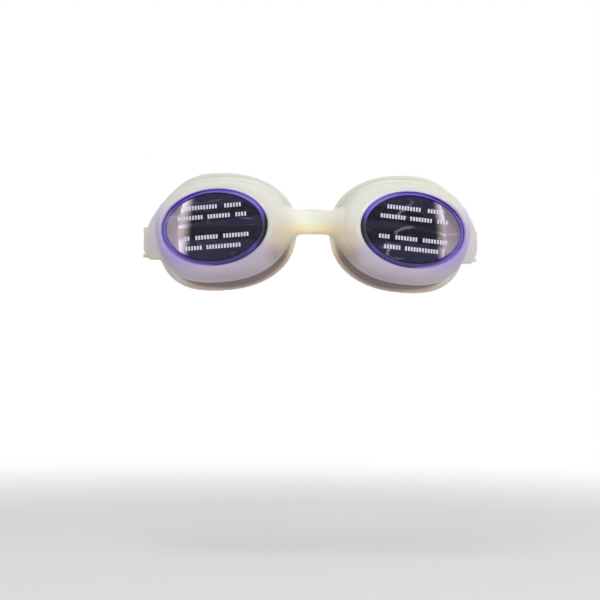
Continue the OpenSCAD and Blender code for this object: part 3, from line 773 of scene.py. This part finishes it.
# Film on the flat front, with rows of plain white bars, in mm. A row is its height and the widths of
# its groups of bars.
film = {
    "grow": -2.0, "near": -0.05, "far": -0.25,
    "barHigh": 1.8, "barWide": 0.8, "barStep": 1.3, "barThick": 0.04,
    "rows": [(8.9, (16.5, 7.5)), (4.6, (11.5, 10.5, 5.5)),
             (-4.4, (5.5, 10.5, 11.5)), (-8.8, (7.5, 16.5))],
    "space": 2.0, "round": (0.06, 0.05),
    "clear": (colour(246, 246, 250), colour(254, 254, 255)), "wave": 45, "waveDepth": 0.0001,
    "waveShare": 0.35, "polish": (0.02, 0.06), "ior": 1.03, "gloss": (0.5, 0.5, 0.55, 1),
    "ridge": 90, "ridgeStretch": (0.55, 1, 1.5), "ridgeWide": 0.035,
    "patch": 70, "patchShare": (0.5, 0.62), "wrinkle": 0.06,
    "ink": (colour(214, 213, 226), colour(176, 174, 198)), "inkWorn": 900, "inkShare": (0.45, 0.75),
    "inkRough": 0.55,
}


def filmMaterial(f):
    material, tree, shader = newMaterial("clear film")
    wave = noise(tree, f["wave"], 2)
    tree.links.new(tint(tree, wave, *f["clear"]), shader.inputs["Base Color"])
    varied(tree, shader, "Roughness", wave, *f["polish"])
    # faint wrinkles in a few patches
    ridge = noise(tree, f["ridge"], 1, f["ridgeStretch"])
    ridge = calc(tree, "ABSOLUTE", calc(tree, "SUBTRACT", ridge, 0.5))
    patch = soften(tree, noise(tree, f["patch"], 1), *f["patchShare"])
    wrinkle = calc(tree, "MULTIPLY", soften(tree, ridge, f["ridgeWide"], 0.0), patch)
    clear = calc(tree, "MULTIPLY_ADD", wrinkle, -f["wrinkle"], 1.0)
    tree.links.new(clear, shader.inputs["Transmission Weight"])
    shader.inputs["IOR"].default_value = f["ior"]
    shader.inputs["Specular Tint"].default_value = f["gloss"]
    bumpy(tree, shader, wave, f["waveDepth"], f["waveShare"])
    return material


def inkMaterial(f):
    material, tree, shader = newMaterial("white bars")
    worn = soften(tree, noise(tree, f["inkWorn"], 4), *f["inkShare"])
    tree.links.new(tint(tree, worn, *f["ink"]), shader.inputs["Base Color"])
    shader.inputs["Roughness"].default_value = f["inkRough"]
    return material


def filmSolid():
    g, near, far = film["grow"], film["near"], film["far"]
    side, face = film["round"]
    rows = [(g - side, far), (g, far + face), (g, near - face), (g - side, near)]
    return skinned([lensRing(a, d, 0, lens["steps"]) for a, d in rows], False)


def barSolids(side):
    points, faces = [], []
    sides = ((0, 1, 2, 3), (7, 6, 5, 4), (0, 4, 5, 1), (1, 5, 6, 2), (2, 6, 7, 3), (3, 7, 4, 0))
    top, under = film["far"] - film["barThick"], film["far"]
    for height, groups in film["rows"]:
        left = -(sum(groups) + film["space"] * (len(groups) - 1)) / 2
        for group in groups:
            count = int(group / film["barStep"] + 0.3)
            for k in range(count):
                x0 = left + k * film["barStep"]
                x1 = x0 + film["barWide"]
                z0, z1 = height - film["barHigh"] / 2, height + film["barHigh"] / 2
                flat = np.array([(side * x0, z0), (side * x1, z0), (side * x1, z1), (side * x0, z1)])
                start = len(points)
                points += [*lensToWorld(flat, under), *lensToWorld(flat, top)]
                faces += [tuple(start + i for i in corners) for corners in sides]
            left += group + film["space"]
    return points, faces


def makeLenses():
    face, edge = lensFaceMaterial(lensLook), lensEdgeMaterial(lensLook)
    clear, ink = filmMaterial(film), inkMaterial(film)
    for name, side in (("left", 1), ("right", -1)):
        points, faces, kinds = lensSolid()
        made = piece(name + "TintedLens", mirrored(points, side), faces, face)
        made.data.materials.append(edge)
        made.data.polygons.foreach_set("material_index", kinds)
        modify(made, "EDGE_SPLIT", split_angle=math.radians(40), use_edge_sharp=False)
        settle(made)
        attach(made, "frame")
        made.visible_shadow = False  # light reaches the cup behind it, as through the film
        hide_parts(name + "_lens")
        points, faces = filmSolid()
        made = piece(name + "ClearFilm", mirrored(points, side), faces, clear)
        modify(made, "EDGE_SPLIT", split_angle=math.radians(35), use_edge_sharp=False)
        settle(made)
        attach(made, name + "_film_body")
        made.visible_shadow = False
        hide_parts(name + "_film")
        points, faces = barSolids(side)
        made = piece(name + "FilmBars", mirrored(points, side), faces, ink, smooth=False)
        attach(made, name + "_film_body")
    print("lenses, films and bars made")


makeLenses()


# Strap sections: a flat band with rounded edges; teeth rise from its outer face.
def bandSection(half, thick, rise=0.0):
    r, face = min(strap["corner"], thick * 0.4), thick / 2
    steps = np.radians([0, 30, 60, 90])
    ring = []
    for w, u, turn in ((half, face, 0), (-half, face, 90), (-half, -face, 180), (half, -face, 270)):
        for a in steps + math.radians(turn):
            ring.append((u - math.copysign(r, u) + r * math.sin(a),
                         w - math.copysign(r, w) + r * math.cos(a)))
    foot, top = (half - inset for inset in strap["toothSide"])
    teeth = [(face, foot), (face + rise, top), (face + rise, 0), (face + rise, -top), (face, -foot)]
    return np.array(ring[:4] + teeth + ring[4:])


def bandSolid(stations, side):
    # each station is outward, along, the outward direction (u, v), half width, thickness and tooth rise
    rings = []
    for u, v, nu, nv, half, thick, rise in stations:
        p = bandSection(half, thick, rise)
        rings.append(strapToWorld(np.stack([u + nu * p[:, 0], v + nv * p[:, 0], p[:, 1]], 1), side))
    return skinned(rings, False)


def toothStations(first, last, start, height):
    # places along a toothed run and the rise at each
    foot, shoulder, top = strap["toothFoot"], strap["toothShoulder"], strap["toothTop"]
    half = [(foot, 0), (shoulder, height * 0.8), (top, height)]
    room = foot + 0.1
    spots = [(first, 0.0)]
    centre = start + strap["toothPitch"] / 2
    while centre + room < last:
        if centre - room > first:
            spots += [(centre - v, rise) for v, rise in half]
            spots += [(centre + v, rise) for v, rise in half[::-1]]
        centre += strap["toothPitch"]
    return spots + [(last, 0.0)]


def makeStraps():
    s = strap
    look = plasticMaterial("milky strap", s["look"])
    half = s["width"] / 2
    inner, mid = s["runIn"] + s["thick"] / 2, s["runOut"] + s["thick"] / 2
    slim = (half - s["turnTuck"], s["thick"] - s["turnThin"])
    tip, thin = s["tipRound"], s["tipThin"]
    for name, side in (("left", 1), ("right", -1)):
        # the turn round the bar and the outer run that is drawn out from behind the tail
        turn = [(s["barU"] + s["barReach"] * math.cos(a), s["barV"] + s["barReach"] * math.sin(a),
                 math.cos(a), math.sin(a), *slim, 0) for a in np.linspace(math.pi, 2 * math.pi, 25)]
        teeth = toothStations(s["barV"] + 0.1, s["barV"] + s["drawIn"], s["barV"], s["toothHigh"])
        run = [(mid, v, 1, 0, *slim, rise) for v, rise in teeth]
        made = piece(name + "StrapTurn", *bandSolid(turn + run, side), look)
        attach(made, "frame")
        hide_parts(name + "_strap_roll")
        # the inner run, which closes up as the strap is drawn in
        run = [(inner, v, 1, 0, half, s["thick"], 0) for v in np.linspace(s["barV"], s["seamV"], 60)]
        made = piece(name + "StrapEnd", *bandSolid(run, side), look)
        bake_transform(made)
        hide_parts(name + "_strap_end")
        # the free tail with its rounded end
        end = s["barV"] + s["tail"]
        teeth = toothStations(s["barV"], end - tip - 0.6, s["barV"], s["toothHigh"] + 0.05)
        run = [(mid, v, 1, 0, half, s["thick"], rise) for v, rise in teeth]
        for a in np.linspace(0, math.pi / 2 - 0.02, 12):
            run.append((mid, end - tip + tip * math.sin(a), 1, 0, half - tip + tip * math.cos(a),
                        s["thick"] - thin * (1 - math.cos(a)) ** 3, 0))
        made = piece(name + "StrapTail", *bandSolid(run, side), look)
        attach(made, name + "_tail_body")
        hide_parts(name + "_strap_tail")
    makeLoop(look)
    print("straps made")


def makeLoop(look):
    # the plain sides and the two strands round the back, as one band with a long slit
    s = strap
    half, slit = s["width"] / 2, s["slit"] / 2
    # a station is its place, its outward direction, half the slit there and how far the strands spread
    x, end = s["centreX"], s["loopV"]
    tip = end - slit
    plain = (*np.linspace(s["seamV"], end - 2, 24), end - 1.4, end - 0.9, tip)
    stations = [(x, v, 1, 0, 0, 0) for v in plain]
    stations += [(x, tip + slit * (1 - math.cos(a)), 1, 0, slit * math.sin(a), 0)
                 for a in np.radians([25, 50, 70])]
    for a in np.radians(np.linspace(0, 90, 61)):
        n = np.array([math.cos(a) / x, math.sin(a) / s["loopDepth"]])
        n /= np.linalg.norm(n)
        stations.append((x * math.cos(a), end + s["loopDepth"] * math.sin(a),
                         *n, slit, s["spread"] * math.sin(a) ** 2))
    stations += [(-x, v, -nx, nv, gap, spread) for x, v, nx, nv, gap, spread in stations[-2::-1]]
    shares = (0, 0.12, 0.5, 0.88, 1)
    points, faces = [], []
    c, sn = math.cos(s["pitch"]), math.sin(s["pitch"])
    for up in (1, -1):
        start = len(points)
        for x, v, nx, nv, gap, spread in stations:
            for share in shares:
                w = up * (gap + spread + (half - gap) * share)
                points.append((x, s["armY"] + v * c - w * sn, s["armZ"] + v * sn + w * c))
        m = len(shares)
        for i in range(len(stations) - 1):
            for j in range(m - 1):
                a, b = start + i * m + j, start + (i + 1) * m + j
                faces.append((a, a + 1, b + 1, b) if up > 0 else (a, b, b + 1, a + 1))
    made = piece("strapLoop", points, faces, look)
    modify(made, "SOLIDIFY", thickness=s["thick"] / 1000, offset=0.0)
    modify(made, "BEVEL", width=s["corner"] / 1000, segments=3,
           limit_method="ANGLE", angle_limit=math.radians(50))
    settle(made)
    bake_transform(made)
    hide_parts("left_strap_side", "right_strap_side", "upper_strand", "lower_strand")


makeStraps()

# Soft loop that holds the tail beside the strap, in mm; low and high are its inner faces.
keeper = {
    "at": 49, "length": 5, "wall": 1.0, "low": 1.2, "high": 7.5, "half": 5.55, "corner": 1.1,
    "look": {"base": colour(224, 215, 196), "shade": colour(214, 204, 184),
             "roughness": 0.45, "scatter": 0.3},
}


def keeperSolid(k, side):
    r, w = k["corner"], k["half"] + k["wall"] / 2 - k["corner"]
    low, high = k["low"] - k["wall"] / 2 + r, k["high"] + k["wall"] / 2 - r
    section = rounded(k["wall"], k["length"], 32)
    rings = []
    for u, across, start in ((high, w, 0), (low, w, 90), (low, -w, 180), (high, -w, 270)):
        for a in np.radians(start + np.linspace(0, 90, 9)):
            out = r + section[:, 0]
            rings.append(strapToWorld(np.stack([u + out * math.cos(a), k["at"] + section[:, 1],
                                                across + out * math.sin(a)], 1), side))
    return skinned(rings, True)


def makeKeepers():
    look = plasticMaterial("cream silicone", keeper["look"])
    for name, side in (("left", 1), ("right", -1)):
        made = piece(name + "KeeperLoop", *keeperSolid(keeper, side), look)
        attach(made, "strap_ends")
        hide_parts(name + "_keeper")
    print("keepers made")


makeKeepers()

# Hard parts that keep their CAD shape, with rounded edges. The bevel is in metres.
fittings = {
    "buckle": {"bevel": 0.0003, "finish": "cream plastic", "roughness": 0.3, "scatter": 0.15,
               "base": colour(230, 219, 192), "shade": colour(220, 208, 180)},
    "lever": {"bevel": 0.00018, "finish": "off-white plastic", "roughness": 0.28, "scatter": 0.15,
              "base": colour(224, 220, 207), "shade": colour(216, 210, 196)},
}


def dressFittings():
    for kind, f in fittings.items():
        look = plasticMaterial(f["finish"], f)
        for name in ("left_", "right_"):
            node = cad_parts[name + kind]
            node.data.materials.clear()
            node.data.materials.append(look)
            for side in node.data.polygons:
                side.use_smooth, side.material_index = True, 0
            modify(node, "WELD", merge_threshold=0.000002)
            modify(node, "DECIMATE", decimate_type="DISSOLVE", angle_limit=math.radians(1))
            modify(node, "BEVEL", width=f["bevel"], segments=3,
                   limit_method="ANGLE", angle_limit=math.radians(35))
            modify(node, "WEIGHTED_NORMAL", weight=80)
    print("buckles and levers dressed")


dressFittings()
